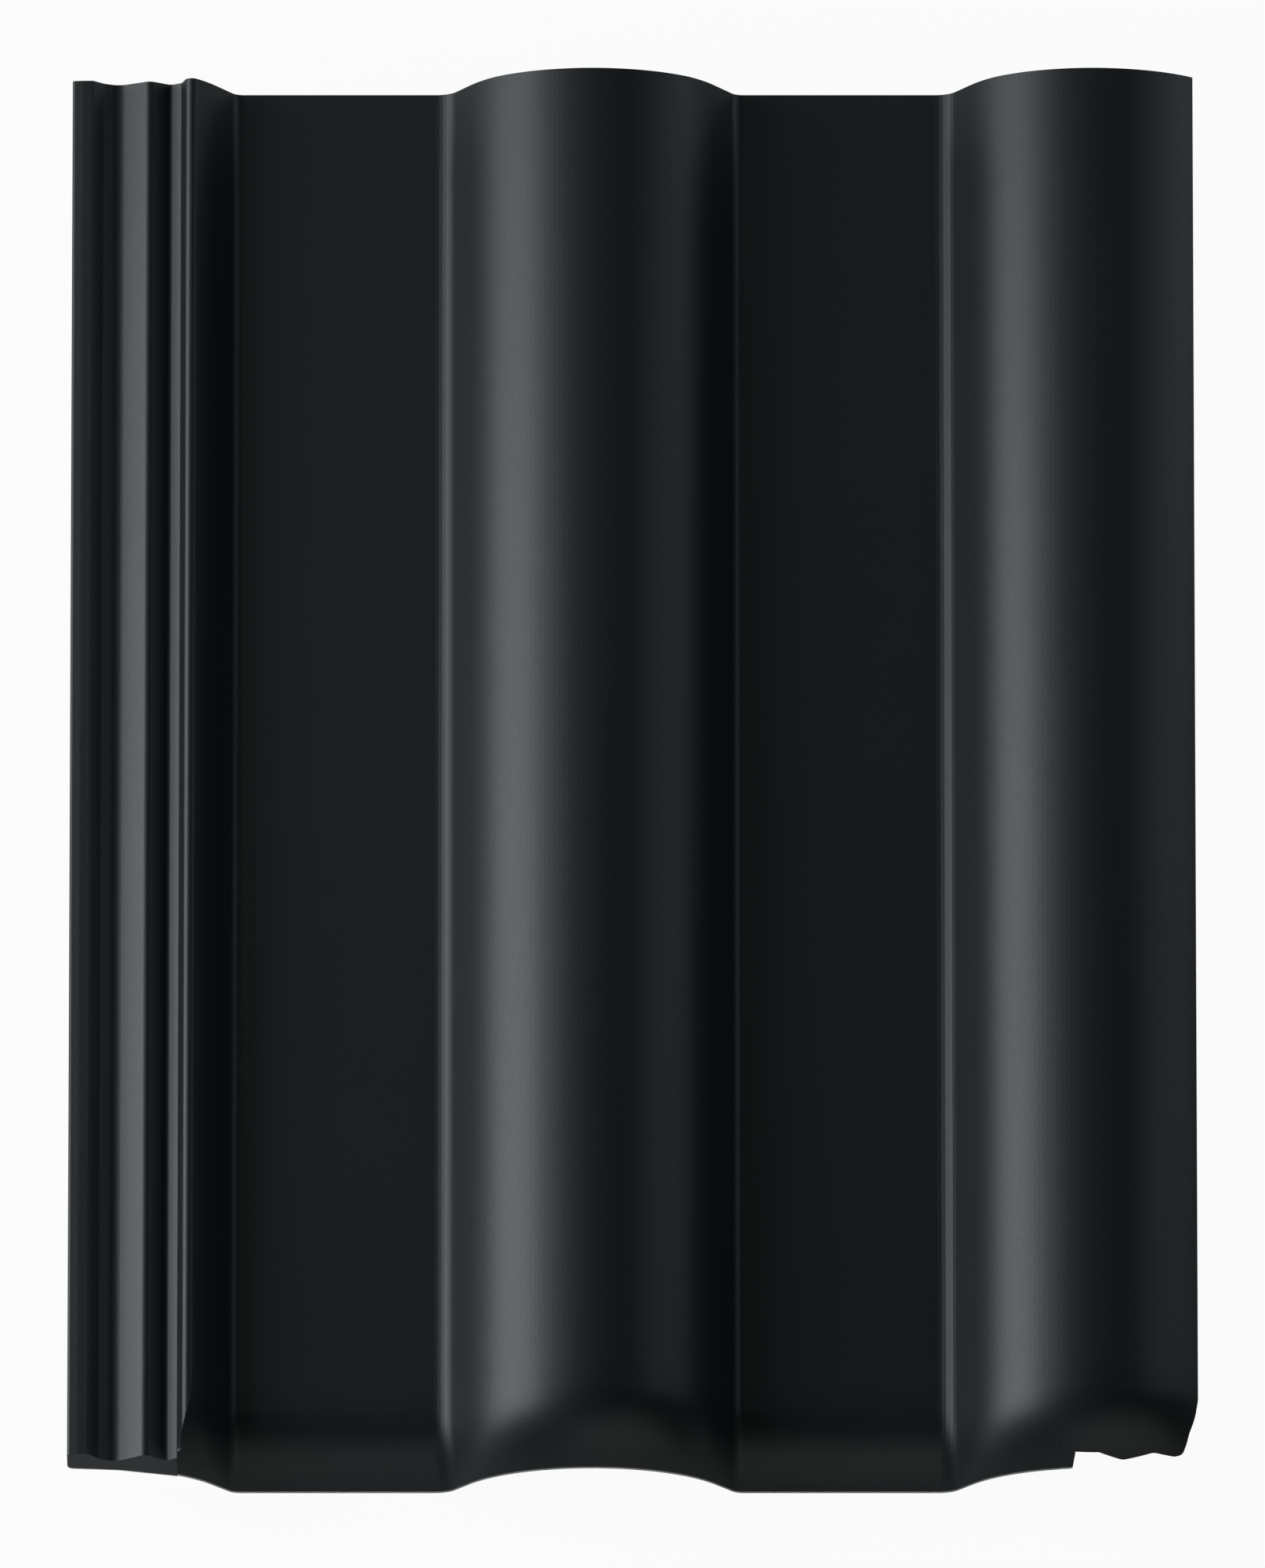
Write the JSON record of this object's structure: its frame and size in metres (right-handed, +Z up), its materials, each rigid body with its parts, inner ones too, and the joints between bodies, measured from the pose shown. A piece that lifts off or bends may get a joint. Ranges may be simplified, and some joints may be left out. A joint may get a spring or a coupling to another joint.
{
  "type": "roof tile",
  "caption": "Concrete interlocking roof tile with flat pans, rounded rolls, side channels, a covering lip and hanging nibs.",
  "frame": {"origin": "centre of the overall box at its lowest level, which is the level floor that the tile lies on", "axes": "+Z up, -Y towards the rounded front edge, +Y towards the head with the nibs, +X towards the covering lip"},
  "size_m": [0.33, 0.4206, 0.0569],
  "materials": {
    "coated_concrete": "dark anthracite coating with a satin sheen on the top, raw grey concrete underneath"
  },
  "bodies": {
    "root": {"roof_tile": "coated_concrete"}
  },
  "joints": []
}
